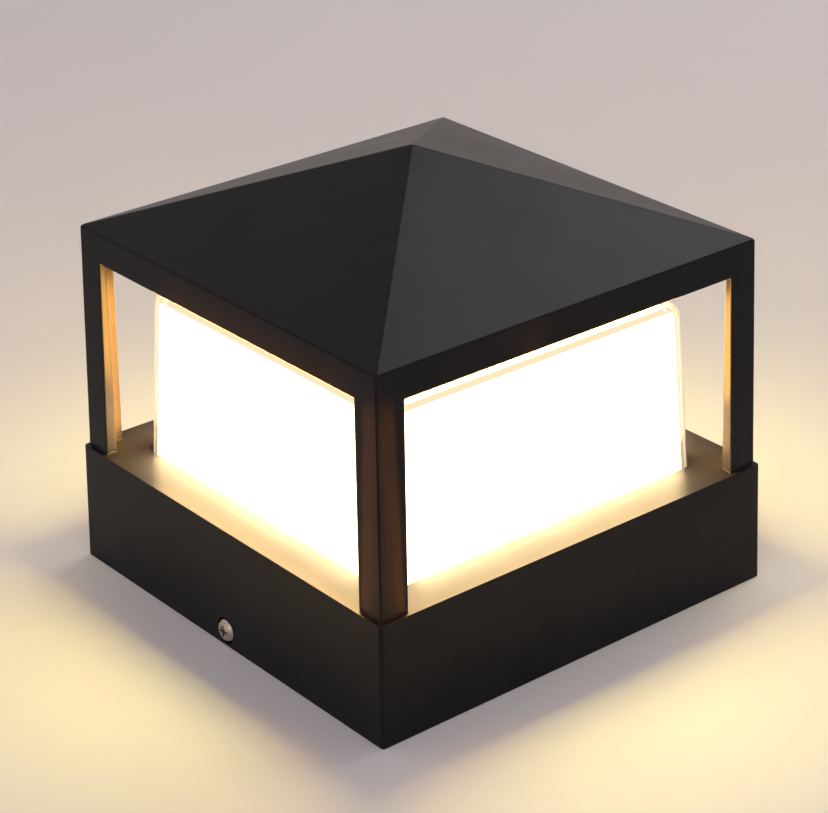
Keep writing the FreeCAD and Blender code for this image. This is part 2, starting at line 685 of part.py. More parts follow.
def spots_about_axis(x, y, level, head_down=True):
    """Four places, a quarter turn apart about the vertical axis."""
    flip = Rotation(Vector(1, 0, 0), 180) if head_down else Rotation()
    first = Placement(Vector(size(x), size(y), size(level)), flip)
    return [Placement(Vector(), Rotation(90 * turn, 0, 0)).multiply(first) for turn in range(4)]


def fasteners():
    """Every group of screws, each made from one master."""
    made = []
    m4 = pan_screw("m4_screw", "m4", "m4_length")
    reach = "base_top_wall + foot_gasket_thickness + frame_screw_grip - cut_margin"
    long_m3 = pan_screw("m3_long_screw", "m3", reach)
    corners = spots_about_axis("frame_screw_place", "frame_screw_place", "base_ceiling")
    made.append(group("frame_screws", long_m3, corners))
    around = spots_about_axis("tray_boss_place", "tray_boss_offset", "tray_under")
    made.append(group("tray_screws", m4, around))
    m3 = pan_screw("m3_screw", "m3", "m3_length")
    board_spots = spots_about_axis("led_board_screw_place", "led_board_screw_place", "led_board_top", False)
    made.append(group("led_board_screws", m3, board_spots))
    short_m4 = pan_screw("m4_short_screw", "m4", "driver_foot_thickness + tray_thickness - clearance_gap")
    under = Rotation(Vector(1, 0, 0), 180)
    ends = [Vector(side * size("driver_screw_place"), 0, size("driver_top")) for side in (-1, 1)]
    made.append(group("driver_screws", short_m4, [Placement(end, under) for end in ends]))
    m5 = pan_screw("m5_screw", "m5", "m5_length", recessed=True)
    side_spots = []
    for side in (-1, 1):
        place = Vector(0, side * size("side_seat"), size("side_screw_height"))
        side_spots.append(Placement(place, Rotation(Vector(1, 0, 0), -90 * side)))
    made.append(group("side_screws", m5, side_spots))
    long_m3 = pan_screw("m3_terminal_screw", "m3", "terminal_base_height + plate_thickness")
    level = size("plate_top + terminal_base_height")
    row, step = -size("terminal_from_centre"), size("terminal_pitch / 2")
    beside = [Placement(Vector(x, row, level), Rotation()) for x in (-step, step)]
    made.append(group("terminal_fixing_screws", long_m3, beside))
    earth_reach = "earth_washer_thickness + earth_lug_thickness + plate_thickness"
    earth = pan_screw("m4_earth_screw", "m4", earth_reach)
    made.append(group("earth_screw", earth, [Placement(Vector(size("earth_x"), size("earth_y"),
                                                              size("earth_head_level")), Rotation())]))
    return made


def driver_case():
    """Extruded aluminium driver housing, potted solid, with a foot at each end against the tray."""
    body = new_body("driver_case")
    foot = new_sketch(body, "driver_foot_sketch", offset="driver_top")
    draw_rectangle(foot, "2 * driver_foot_half", "driver_width")
    extrude(body, "driver_foot", foot, "driver_foot_thickness")
    case = new_sketch(body, "driver_case_sketch", offset="driver_under")
    draw_rectangle(case, "driver_length", "driver_width")
    extrude(body, "driver_box", case, "driver_depth")
    grooves = new_sketch(body, "driver_groove_sketch", "YZ_Plane")
    for step in (-2, -1, 0, 1, 2):
        left = f"{step} * driver_groove_pitch - driver_groove_width / 2"
        right = f"{step} * driver_groove_pitch + driver_groove_width / 2"
        low, high = "driver_under - 1", "driver_under + driver_groove_depth"
        draw_outline(grooves, [(left, low), (right, low), (right, high), (left, high)])
    extrude(body, "driver_grooves", grooves, "driver_length + 2", cut=True, both_ways=True)
    holes = new_sketch(body, "driver_foot_holes", offset="tray_under")
    for side in ("", "-"):
        draw_circle(holes, "m4_diameter / 2 + clearance_gap", (f"{side}driver_screw_place", "0"))
    extrude(body, "driver_foot_hole", holes, "driver_foot_thickness + cut_margin", cut=True)
    return body


def driver_end_caps():
    """Two moulded plates that close the driver's ends, each with an outlet for its pair of leads."""
    body = new_body("driver_end_cap_master")
    plate = new_sketch(body, "end_cap_sketch", "YZ_Plane", "driver_length / 2")
    draw_rectangle(plate, "driver_width", "driver_depth", ("0", "driver_middle"))
    extrude(body, "end_cap_plate", plate, "end_cap_thickness")
    outlet = new_sketch(body, "outlet_sketch", "YZ_Plane", "driver_length / 2")
    draw_circle(outlet, "lead_outlet_radius", ("0", "driver_middle"))
    extrude(body, "outlet", outlet, "end_cap_thickness + lead_outlet_length")
    return group("driver_end_caps", body, [Placement(), Placement(Vector(), Rotation(180, 0, 0))])


def ring_piece(label, profile, x="0", y="0"):
    """A turned piece about a vertical axis; the profile gives (radius, height) pairs of expressions."""
    body = new_body(label)
    sketch = new_sketch(body, f"{label}_profile", "XZ_Plane")
    draw_outline(sketch, profile)
    revolve(body, f"{label}_turned", sketch)
    body.setExpression("Placement.Base.x", full(x))
    body.setExpression("Placement.Base.y", full(y))
    return body


def lead_grommet():
    """Rubber grommet in the tray, where the light engine's leads pass."""
    bore, neck = "lead_grommet_bore", "lead_grommet_radius - thread_gap"
    lip = "lead_grommet_radius + lead_grommet_lip"
    low, high = "tray_under - lead_grommet_lip_thickness", "tray_top + lead_grommet_lip_thickness"
    profile = [(bore, low), (lip, low), (lip, "tray_under"), (neck, "tray_under"), (neck, "tray_top")]
    profile += [(lip, "tray_top"), (lip, high), (bore, high)]
    return ring_piece("lead_grommet", profile, "lead_grommet_x", "tray_grommet_place")


def cable_grommet():
    """Rubber grommet in the middle of the mounting plate, where the supply cable comes up."""
    bore, neck = "cable_bore_diameter / 2", "cable_hole_diameter / 2 - thread_gap"
    lip = "cable_hole_diameter / 2 + grommet_lip"
    low, high = "foam_thickness - grommet_lip_thickness", "plate_top + grommet_lip_thickness"
    top = "plate_top + grommet_lip_thickness + grommet_collar_height"
    collar = "cable_bore_diameter / 2 + grommet_collar_wall"
    profile = [(bore, low), (lip, low), (lip, "foam_thickness"), (neck, "foam_thickness")]
    profile += [(neck, "plate_top"), (lip, "plate_top"), (lip, high), (collar, high), (collar, top)]
    profile += [(bore, top)]
    return ring_piece("cable_grommet", profile)


def mounting_plate():
    """Pressed steel plate with a tapped tab bent up at two sides, anchor slots and a cable hole."""
    body = new_body("mounting_plate")
    outline = new_sketch(body, "plate_outline", offset="foam_thickness")
    draw_box(outline, "2 * plate_half", "2 * plate_edge", "plate_corner_radius")
    extrude(body, "plate_sheet", outline, "plate_thickness")
    tab = new_sketch(body, "tab_sketch", "YZ_Plane")
    draw_bent_tab(tab)
    tab_pad = extrude(body, "tab", tab, "tab_width", both_ways=True)
    collar = new_sketch(body, "collar_sketch", "XZ_Plane", "-(tab_face - plate_thickness)")
    draw_circle(collar, "collar_diameter / 2", ("0", "side_screw_height"))
    collar_pad = extrude(body, "collar", collar, "collar_length")
    mirror_copies(body, "tabs", [tab_pad, collar_pad])
    bore = new_sketch(body, "tab_bore_sketch", "XZ_Plane")
    draw_circle(bore, "m5_diameter / 2 + thread_gap", ("0", "side_screw_height"))
    extrude(body, "tab_bores", bore, "2 * base_width", cut=True, both_ways=True)
    holes = new_sketch(body, "plate_holes", offset="plate_top")
    for x in ("", "-"):
        for y in ("", "-"):
            centre = (f"{x}anchor_spacing / 2", f"{y}anchor_spacing / 2")
            draw_slot(holes, "anchor_slot_length", "anchor_slot_width", centre)
        fixing = (f"{x}terminal_pitch / 2", "-terminal_from_centre")
        draw_circle(holes, "m3_diameter / 2 + thread_gap", fixing)
    draw_circle(holes, "cable_hole_diameter / 2")
    draw_circle(holes, "m4_diameter / 2 + thread_gap", ("earth_x", "earth_y"))
    extrude(body, "plate_hole", holes, "plate_thickness + cut_margin", cut=True)
    return body


def draw_bent_tab(sketch):
    """The bent tab's section: flat at the plate's edge, round the bend and up."""
    low, thick = size("foam_thickness"), size("plate_thickness")
    outer, inner = size("tab_bend"), size("plate_bend_radius")
    edge, face, top = size("plate_edge"), size("tab_face"), size("tab_top")
    centre = Vector(edge, low + outer, 0)
    up = Vector(0, 0, 1)
    line, arc = Part.LineSegment, Part.ArcOfCircle
    parts = [
        arc(Part.Circle(centre, up, outer), -math.pi / 2, 0),
        line(Vector(face, low + outer, 0), Vector(face, top, 0)),
        line(Vector(face, top, 0), Vector(face - thick, top, 0)),
        line(Vector(face - thick, top, 0), Vector(face - thick, low + outer, 0)),
        arc(Part.Circle(centre, up, inner), -math.pi / 2, 0),
        line(Vector(edge, low + thick, 0), Vector(edge, low, 0)),
    ]
    outside, rise, rim, fall, inside, seam = [sketch.addGeometry(part) for part in parts]
    sketch.addConstraint(Sketcher.Constraint("Tangent", outside, 2, rise, 1))
    sketch.addConstraint(Sketcher.Constraint("Coincident", rise, 2, rim, 1))
    sketch.addConstraint(Sketcher.Constraint("Coincident", rim, 2, fall, 1))
    sketch.addConstraint(Sketcher.Constraint("Tangent", fall, 2, inside, 2))
    sketch.addConstraint(Sketcher.Constraint("Coincident", inside, 1, seam, 1))
    sketch.addConstraint(Sketcher.Constraint("Coincident", seam, 2, outside, 1))
    sketch.addConstraint(Sketcher.Constraint("Coincident", inside, 3, outside, 3))
    sketch.addConstraint(Sketcher.Constraint("Vertical", rise))
    sketch.addConstraint(Sketcher.Constraint("Horizontal", rim))
    sketch.addConstraint(Sketcher.Constraint("Vertical", seam))
    bind(sketch, "Radius", (inside,), "plate_bend_radius")
    bind(sketch, "Radius", (outside,), "tab_bend")
    bind(sketch, "DistanceX", (-1, 1, outside, 3), "plate_edge")
    bind(sketch, "DistanceY", (-1, 1, outside, 3), "foam_thickness + tab_bend")
    bind(sketch, "DistanceY", (-1, 1, rise, 2), "tab_top")


def foam_gasket():
    """Closed-cell foam ring stuck under the edge of the mounting plate."""
    body = new_body("foam_gasket")
    outer = new_sketch(body, "foam_outer")
    draw_box(outer, "2 * plate_half", "2 * plate_edge", "plate_corner_radius")
    extrude(body, "foam_ring", outer, "foam_thickness")
    inner = new_sketch(body, "foam_inner", offset="foam_thickness")
    width = ("2 * (plate_half - foam_width)", "2 * (plate_edge - foam_width)")
    draw_box(inner, *width, "plate_corner_radius / 2")
    extrude(body, "foam_hole", inner, "foam_thickness + cut_margin", cut=True)
    return body


def terminal_block():
    """Three-pole screw terminal block on the mounting plate."""
    body = new_body("terminal_block")
    row = "-terminal_from_centre"
    base = new_sketch(body, "terminal_base_sketch", offset="plate_top")
    draw_rectangle(base, "terminal_length", "terminal_width", ("0", row))
    extrude(body, "terminal_base", base, "terminal_base_height")
    ridge = new_sketch(body, "terminal_ridge_sketch", offset="plate_top")
    draw_rectangle(ridge, "terminal_length", "terminal_ridge_width", ("0", row))
    extrude(body, "terminal_ridge", ridge, "terminal_height")
    bores = new_sketch(body, "terminal_bore_sketch", "XZ_Plane")
    wells = new_sketch(body, "terminal_well_sketch", offset="plate_top + terminal_height")
    for pole in (-1, 0, 1):
        mouth = (f"{pole} * terminal_pitch", "terminal_bore_level")
        draw_rectangle(bores, "terminal_wire_bore", "terminal_wire_bore", mouth)
        for side in ("+", "-"):
            centre = (f"{pole} * terminal_pitch", f"{row} {side} terminal_clamp_spacing / 2")
            draw_circle(wells, "clamp_screw_diameter / 2 + clearance_gap", centre)
    extrude(body, "terminal_bores", bores, "2 * base_width", cut=True, both_ways=True)
    extrude(body, "terminal_wells", wells, "clamp_screw_length + 2 * clamp_sunk", cut=True)
    seats = new_sketch(body, "terminal_seat_sketch", offset="plate_top + terminal_height")
    fixings = new_sketch(body, "terminal_fixing_sketch", offset="plate_top + terminal_height")
    for side in ("", "-"):
        centre = (f"{side}terminal_pitch / 2", row)
        draw_circle(seats, "m3_head_diameter / 2 + clearance_gap", centre)
        draw_circle(fixings, "m3_diameter / 2 + clearance_gap", centre)
    extrude(body, "terminal_seats", seats, "terminal_height - terminal_base_height", cut=True)
    extrude(body, "terminal_fixings", fixings, "terminal_height + cut_margin", cut=True)
    return body


def clamp_screws():
    """Six slotted brass screws, two for each pole of the terminal block."""
    body = new_body("clamp_screw_master")
    rod = new_sketch(body, "clamp_rod")
    draw_circle(rod, "clamp_screw_diameter / 2 + clearance_gap")
    extrude(body, "clamp_shank", rod, "clamp_screw_length")
    slot = new_sketch(body, "clamp_slot", offset="clamp_screw_length")
    draw_rectangle(slot, "clamp_screw_diameter + 2 * cut_margin", "clamp_slot_width")
    extrude(body, "clamp_cut", slot, "clamp_slot_depth", cut=True)
    level = size("plate_top + terminal_height - clamp_screw_length - clamp_sunk")
    spots = []
    for pole in (-1, 0, 1):
        for side in (-1, 1):
            y = side * size("terminal_clamp_spacing / 2") - size("terminal_from_centre")
            place = Vector(pole * size("terminal_pitch"), y, level)
            spots.append(Placement(place, Rotation(35 * pole, 0, 0)))
    return group("clamp_screws", body, spots)


def earth_lug():
    """Tinned ring terminal under the earth screw, with a flat neck and a crimped barrel."""
    body = new_body("earth_lug")
    ring = new_sketch(body, "lug_ring_sketch", offset="plate_top")
    draw_circle(ring, "earth_lug_radius", ("earth_x", "earth_y"))
    extrude(body, "lug_ring", ring, "earth_lug_thickness")
    neck = new_sketch(body, "lug_neck_sketch", offset="plate_top")
    centre = ("earth_x - earth_lug_radius", "earth_y")
    draw_rectangle(neck, "earth_neck_length", "2 * earth_barrel_radius", centre)
    extrude(body, "lug_neck", neck, "earth_lug_thickness")
    barrel = new_sketch(body, "lug_barrel_sketch", "YZ_Plane", "earth_barrel_start")
    draw_circle(barrel, "earth_barrel_radius", ("earth_y", "earth_barrel_level"))
    extrude(body, "lug_barrel", barrel, "earth_barrel_length", reverse=True)
    hole = new_sketch(body, "lug_hole_sketch", offset="plate_top + earth_lug_thickness")
    draw_circle(hole, "m4_diameter / 2 + clearance_gap", ("earth_x", "earth_y"))
    extrude(body, "lug_hole", hole, "earth_lug_thickness + cut_margin", cut=True)
    return body


def earth_washer():
    """Toothed lock washer between the earth screw's head and the lug."""
    inner, outer = "m4_diameter / 2 + clearance_gap", "m4_head_diameter / 2"
    low, high = "earth_washer_level", "earth_head_level"
    return ring_piece("earth_washer", [(inner, low), (outer, low), (outer, high), (inner, high)],
                      "earth_x", "earth_y")


def route_wire(points):
    """Straight runs joined by tangent arcs, each arc as large as its two runs allow."""
    edges = []
    start = points[0]
    for before, corner, after in zip(points, points[1:], points[2:]):
        inward, outward = corner - before, after - corner
        reach = 0.45 * min(inward.Length, outward.Length)
        half_turn = inward.getAngle(outward) / 2
        inward.normalize()
        outward.normalize()
        radius = reach / math.tan(half_turn)
        first, last = corner - inward * reach, corner + outward * reach
        towards = (outward - inward).normalize()
        middle = corner + towards * (radius / math.cos(half_turn) - radius)
        edges.append(Part.LineSegment(start, first).toShape())
        edges.append(Part.Arc(first, middle, last).toShape())
        start = last
    edges.append(Part.LineSegment(start, points[-1]).toShape())
    return Part.Wire(edges)


def lead(points, radius):
    """An insulated lead of six-sided section along a route, with its bends and its volume checked."""
    wire = route_wire(points)
    direction = points[1] - points[0]
    ring = Part.makePolygon(Part.Circle(points[0], direction, radius).toShape().discretize(7))
    tube = wire.makePipeShell([ring], True, False)
    wanted = 1.5 * math.sqrt(3) * radius ** 2 * wire.Length
    if abs(tube.Volume / wanted - 1) > 0.01:
        raise RuntimeError("a lead's volume differs from its section times its length")
    bends = [edge.Curve.Radius for edge in wire.Edges if hasattr(edge.Curve, "Radius")]
    print(f"lead {wire.Length:.1f} mm long, radius {radius}, bends {min(bends):.1f} to {max(bends):.1f} mm")
    return tube


def lead_node(label, tubes):
    node = doc.addObject("Part::Feature", label)
    node.Label = label
    node.Shape = Part.makeCompound(tubes)
    return node


def led_leads():
    """Red and black leads from the driver, through the tray's grommet, to the light engine."""
    out, middle = size("outlet_end"), size("driver_middle")
    x, y = size("lead_grommet_x"), size("tray_grommet_place")
    board, pad = size("led_board_top"), size("led_board_half - lead_pad_inset")
    loop_half = (y - pad) / 2
    rise = loop_half / math.sin(math.radians(60))
    tubes = []
    for side in (-1, 1):
        off = side * size("lead_spread")
        tubes.append(lead([
            Vector(out, off, middle),
            Vector(out + 12, off, middle),
            Vector(out + 21, 0.35 * y + off, middle - 2),
            Vector(out + 8, 0.77 * y - off, middle - 4),
            Vector(x + 14 - off, y - 3 - off, middle - 3),
            Vector(x - off, y, middle + 4),
            Vector(x - off, y, board + rise),
            Vector(x - off, y - loop_half, board + 1.5 * rise),
            Vector(x - off, pad, board + rise),
            Vector(x - off, pad, board),
        ], size("lead_radius")))
    return lead_node("led_leads", tubes)


def mains_leads():
    """Brown and blue leads from the terminal block to the driver."""
    out, middle, level = -size("outlet_end"), size("driver_middle"), size("terminal_bore_level")
    edge, pitch = size("terminal_edge"), size("terminal_pitch")
    tubes = []
    for side in (-1, 1):
        off = side * size("lead_spread")
        pole = -pitch if side < 0 else 0
        tubes.append(lead([
            Vector(out, off, middle),
            Vector(out - 11, off, middle),
            Vector(out - 15, off - 15, middle - 8),
            Vector(out + 2, off + 0.6 * edge, level + 4),
            Vector(pole - 24, edge + 14 + 5 * side, level),
            Vector(pole - 5, edge + 14 + 4 * side, level),
            Vector(pole, edge + 6, level),
            Vector(pole, edge - 4, level),
        ], size("mains_lead_radius")))
    return lead_node("mains_leads", tubes)


def earth_lead():
    """Green and yellow lead from the terminal block's third pole to the earth lug."""
    pole, edge, level = size("terminal_pitch"), size("terminal_edge"), size("terminal_bore_level")
    barrel = size("earth_barrel_start - earth_barrel_length")
    y, low = size("earth_y"), size("earth_barrel_level")
    tube = lead([
        Vector(pole, edge - 4, level),
        Vector(pole, edge + 5, level),
        Vector(pole + 4, edge + 13, level - 1),
        Vector(barrel - 10, y + 1, low + 1),
        Vector(barrel - 4, y, low),
        Vector(barrel, y, low),
    ], size("mains_lead_radius"))
    return lead_node("earth_lead", [tube])


NODES = [
    lantern_frame(),
    base_housing(),
    clear_cover(),
    opal_diffuser(),
    cover_gasket(),
    led_board(),
    foot_gaskets(),
    led_chips(),
    led_tray(),
    lead_grommet(),
    driver_case(),
    driver_end_caps(),
    led_leads(),
    mains_leads(),
    earth_lead(),
    mounting_plate(),
    foam_gasket(),
    cable_grommet(),
    terminal_block(),
    clamp_screws(),
    earth_lug(),
    earth_washer(),
] + fasteners()
doc.recompute()


def check_document():
    """Stops if any object failed or any piece is empty or not valid."""
    for thing in doc.Objects:
        if set(thing.State) & {"Invalid", "Error"}:
            raise RuntimeError(f"{thing.Name} failed: {thing.State}")
    for node in NODES:
        if node.Shape.isNull() or not node.Shape.isValid() or not node.Shape.Solids:
            raise RuntimeError(f"{node.Label} has no valid solid")


check_document()
os.makedirs("parts", exist_ok=True)
for node in NODES:
    node.Shape.exportStep(f"parts/{node.Label}.step")
    box = node.Shape.BoundBox
    print(f"{node.Label}: {len(node.Shape.Solids)} solids, {node.Shape.Volume:.0f} mm3, "
          f"z {box.ZMin:.2f} to {box.ZMax:.2f}, x {box.XMin:.2f} to {box.XMax:.2f}")
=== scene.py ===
import json
import math

import bmesh
import bpy
from mathutils import Matrix, Vector


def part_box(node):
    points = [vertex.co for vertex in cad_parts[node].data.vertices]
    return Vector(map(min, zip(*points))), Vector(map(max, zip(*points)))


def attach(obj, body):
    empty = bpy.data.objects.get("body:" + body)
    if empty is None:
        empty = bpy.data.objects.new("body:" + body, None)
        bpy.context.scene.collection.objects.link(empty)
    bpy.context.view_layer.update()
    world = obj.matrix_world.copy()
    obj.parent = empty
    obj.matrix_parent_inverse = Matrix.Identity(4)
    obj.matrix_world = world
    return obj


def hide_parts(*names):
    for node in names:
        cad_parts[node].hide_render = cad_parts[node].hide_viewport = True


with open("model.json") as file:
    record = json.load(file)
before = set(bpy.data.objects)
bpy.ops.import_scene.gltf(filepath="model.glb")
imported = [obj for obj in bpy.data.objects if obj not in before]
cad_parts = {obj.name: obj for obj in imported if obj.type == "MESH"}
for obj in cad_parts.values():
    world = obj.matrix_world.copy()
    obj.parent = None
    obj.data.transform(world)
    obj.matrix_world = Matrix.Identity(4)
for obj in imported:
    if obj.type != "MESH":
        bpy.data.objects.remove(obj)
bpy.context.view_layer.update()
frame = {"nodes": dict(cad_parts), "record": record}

# Base: a square aluminium casting, open below, with drafted sides and a square aperture in its top
# plate for the cover. It is powder coated satin black and held down by two side screws, which sit
# in shallow counterbores low on the front and back faces.
base_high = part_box("base_housing")[1]
MM = 0.001
DRAFT = math.tan(math.radians(1.3))
BASE_WALL = 3 * MM
CEILING = base_high.z - 3.5 * MM
BASE_CORNER = 1.6 * MM
BASE_TOP_EDGE = 0.8 * MM
BASE_FOOT_EDGE = 0.5 * MM
APERTURE = 80.7 * MM
APERTURE_CORNER = 6.8 * MM
APERTURE_EDGE = 0.5 * MM
SCREW_HEIGHT = 6.8 * MM
COUNTERBORE = 5.6 * MM
SEAT_DEPTH = 1.7 * MM
CUTTER_LENGTH = 10 * MM
SHARP_ANGLE = math.radians(40)


def square_skin(builder, sections):
    """Straight walls through square rings about the vertical axis, given by half width and level.

    The walls go down the outside, round the rim and up the inside, or through the aperture and back
    to the start. Where the first and last section differ, each is closed with a flat face.
    """
    half, level = sections[0]
    start = bmesh.ops.create_grid(builder, x_segments=1, y_segments=1, size=half,
                                  matrix=Matrix.Translation((0, 0, level)))
    cap = start["verts"][0].link_faces[0]
    edges = list(cap.edges)
    if sections[0] == sections[-1]:
        bmesh.ops.delete(builder, geom=[cap], context="FACES_ONLY")
    for next_half, next_level in sections[1:]:
        made = bmesh.ops.extrude_edge_only(builder, edges=edges)["geom"]
        corners = [part for part in made if isinstance(part, bmesh.types.BMVert)]
        edges = [part for part in made if isinstance(part, bmesh.types.BMEdge)]
        edges = [edge for edge in edges if all(corner in corners for corner in edge.verts)]
        ratio = next_half / half
        bmesh.ops.scale(builder, verts=corners, vec=(ratio, ratio, 1))
        bmesh.ops.translate(builder, verts=corners, vec=(0, 0, next_level - level))
        half, level = next_half, next_level
    if sections[0] != sections[-1]:
        bmesh.ops.edgeloop_fill(builder, edges=edges)
    bmesh.ops.remove_doubles(builder, verts=builder.verts[:], dist=MM / 1000)
    bmesh.ops.recalc_face_normals(builder, faces=builder.faces[:])


def find_edges(builder, lowest=-1.0, highest=1.0, nearest=-1.0, farthest=1.0, rise=-1.0):
    """Edges whose ends lie within these levels and half widths, and that rise by more than this."""
    found = []
    for edge in builder.edges:
        ends = [vertex.co for vertex in edge.verts]
        levels = [end.z for end in ends]
        half_widths = [max(abs(end.x), abs(end.y)) for end in ends]
        if (min(levels) > lowest and max(levels) < highest and max(levels) - min(levels) > rise
                and min(half_widths) > nearest and max(half_widths) < farthest):
            found.append(edge)
    return found


def round_off(builder, edges, radius, segments):
    """Rounds edges with the same radius."""
    bmesh.ops.bevel(builder, geom=edges, offset=radius, offset_type="OFFSET", segments=segments,
                    profile=0.5, affect="EDGES", material=-1, clamp_overlap=True)


def base_mesh():
    """The casting as one closed skin: outside, over the top edge, through the aperture, inside."""
    builder = bmesh.new()
    outer, inner = base_high.x, base_high.x - BASE_WALL
    sections = [
        (outer, 0), (outer - base_high.z * DRAFT, base_high.z), (APERTURE, base_high.z),
        (APERTURE, CEILING), (inner - CEILING * DRAFT, CEILING), (inner, 0),
    ]
    square_skin(builder, sections + sections[:1])
    near = 1 * MM
    skirt, top, hole = outer - 10 * MM, base_high.z - near / 2, APERTURE + near
    round_off(builder, find_edges(builder, nearest=skirt, rise=near), BASE_CORNER, 5)
    round_off(builder, find_edges(builder, farthest=hole, rise=near), APERTURE_CORNER, 6)
    round_off(builder, find_edges(builder, lowest=top, nearest=skirt), BASE_TOP_EDGE, 3)
    round_off(builder, find_edges(builder, lowest=top, farthest=hole), APERTURE_EDGE, 2)
    round_off(builder, find_edges(builder, highest=near, nearest=outer - near), BASE_FOOT_EDGE, 2)
    return builder


def linear(hex_colour):
    """An sRGB hex colour as the linear RGBA that the shaders take."""
    toe, slope, offset, power = 0.04045, 12.92, 0.055, 2.4
    channels = [int(hex_colour[place:place + 2], 16) / 255 for place in (1, 3, 5)]
    return [c / slope if c <= toe else ((c + offset) / (1 + offset)) ** power
            for c in channels] + [1.0]


def add_node(tree, kind, links=None, **settings):
    """One shader node: settings by property or socket name, links by input socket name."""
    node = tree.nodes.new(kind)
    for name, value in settings.items():
        if hasattr(node, name):
            setattr(node, name, value)
        else:
            words = name.replace("_", " ")
            socket = next(s for s in node.inputs if s.name.lower() == words and s.enabled)
            socket.default_value = value
    for name, source in (links or {}).items():
        tree.links.new(source, node.inputs[name])
    return node


def new_material(name):
    """An empty material and its node tree."""
    material = bpy.data.materials.new(name)
    material.use_nodes = True
    material.node_tree.nodes.clear()
    return material, material.node_tree


def finish_material(tree, shader):
    """Sends the shader to the material's surface."""
    output = add_node(tree, "ShaderNodeOutputMaterial")
    tree.links.new(shader.outputs[0], output.inputs["Surface"])


def mottled(tree, size_mm, low_hex, high_hex):
    """A soft cloudy mix of two colours whose patches have a real size."""
    place = add_node(tree, "ShaderNodeTexCoord").outputs["Object"]
    cloud = add_node(tree, "ShaderNodeTexNoise", {"Vector": place},
                     scale=1000 / size_mm, detail=3.0)
    ramp = add_node(tree, "ShaderNodeValToRGB", {"Fac": cloud.outputs["Fac"]})
    low, high = ramp.color_ramp.elements
    low.position, high.position = 0.35, 0.65
    low.color, high.color = linear(low_hex), linear(high_hex)
    return ramp.outputs["Color"]


def grain_bump(tree, size_mm, height_mm, strength, detail=2.0):
    """A fine random relief, given by the size of its grain and its height."""
    place = add_node(tree, "ShaderNodeTexCoord").outputs["Object"]
    grain = add_node(tree, "ShaderNodeTexNoise", {"Vector": place},
                     scale=1000 / size_mm, detail=detail)
    bump = add_node(tree, "ShaderNodeBump", {"Height": grain.outputs["Fac"]},
                    distance=height_mm / 1000, strength=strength)
    return bump.outputs["Normal"]


def powder_coat_black():
    """Satin black polyester powder: a low, broad, slightly uneven sheen on an orange peel."""
    material, tree = new_material("satin_black_powder_coat")
    place = add_node(tree, "ShaderNodeTexCoord").outputs["Object"]
    haze = add_node(tree, "ShaderNodeTexNoise", {"Vector": place}, scale=1000 / 40.0, detail=3.0)
    rough = add_node(tree, "ShaderNodeMapRange", {"Value": haze.outputs["Fac"]},
                     to_min=0.29, to_max=0.36)
    shader = add_node(tree, "ShaderNodeBsdfPrincipled", {
        "Base Color": mottled(tree, 28.0, "#151415", "#1b191b"),
        "Roughness": rough.outputs["Result"],
        "Normal": grain_bump(tree, size_mm=1.2, height_mm=0.02, strength=0.35),
    }, specular_ior_level=0.11)
    finish_material(tree, shader)
    return material


def wear(piece, material):
    """Gives a piece its one finish."""
    piece.data.materials.clear()
    piece.data.materials.append(material)


def make_piece(name, mesh_builder, material, slot, *replaced):
    """An object from a finished bmesh, riding on the one body, in place of CAD nodes."""
    mesh = bpy.data.meshes.new(name)
    bmesh.ops.recalc_face_normals(mesh_builder, faces=mesh_builder.faces[:])
    mesh_builder.to_mesh(mesh)
    mesh_builder.free()
    piece = bpy.data.objects.new(name, mesh)
    bpy.context.scene.collection.objects.link(piece)
    for face in mesh.polygons:
        face.use_smooth = True
    mesh.set_sharp_from_angle(angle=SHARP_ANGLE)
    wear(piece, material)
    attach(piece, "root")
    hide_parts(*replaced)
    return piece


def cut_away(piece, cutters):
    """Takes the cutters' space out of a piece with one exact boolean, and applies it."""
    cutter_mesh = bpy.data.meshes.new("cutter")
    cutters.to_mesh(cutter_mesh)
    cutters.free()
    tool = bpy.data.objects.new("cutter", cutter_mesh)
    bpy.context.scene.collection.objects.link(tool)
    cut = piece.modifiers.new("cut", "BOOLEAN")
    cut.operation = "DIFFERENCE"
    cut.solver = "EXACT"
    cut.object = tool
    bpy.context.view_layer.update()
    evaluated = piece.evaluated_get(bpy.context.evaluated_depsgraph_get())
    shaped = bpy.data.meshes.new_from_object(evaluated)
    piece.modifiers.clear()
    old = piece.data
    piece.data = shaped
    bpy.data.meshes.remove(old)
    bpy.data.objects.remove(tool)
    shaped.name = piece.name


def rod(builder, radius, start, end):
    """A closed round bar between two points."""
    axis = end - start
    turn = Vector((0, 0, 1)).rotation_difference(axis).to_matrix().to_4x4()
    place = Matrix.Translation((start + end) / 2) @ turn
    bmesh.ops.create_cone(builder, cap_ends=True, cap_tris=False, segments=64, radius1=radius,
                          radius2=radius, depth=axis.length, matrix=place)


def even_shading(piece):
    """Keeps the flats flat to the eye and puts all of the shading's turn into the rounded edges."""
    shading = piece.modifiers.new("even_shading", "WEIGHTED_NORMAL")
    shading.mode = "FACE_AREA"
    shading.weight = 100
    shading.keep_sharp = True


POWDER_COAT = powder_coat_black()
base = make_piece("base_casting", base_mesh(), POWDER_COAT, "powder_coat_black", "base_housing")
counterbores = bmesh.new()
for side in (-1, 1):
    seat = Vector((0, side * (base_high.x - SEAT_DEPTH), SCREW_HEIGHT))
    rod(counterbores, COUNTERBORE, seat, seat + Vector((0, side * CUTTER_LENGTH, 0)))
cut_away(base, counterbores)
even_shading(base)

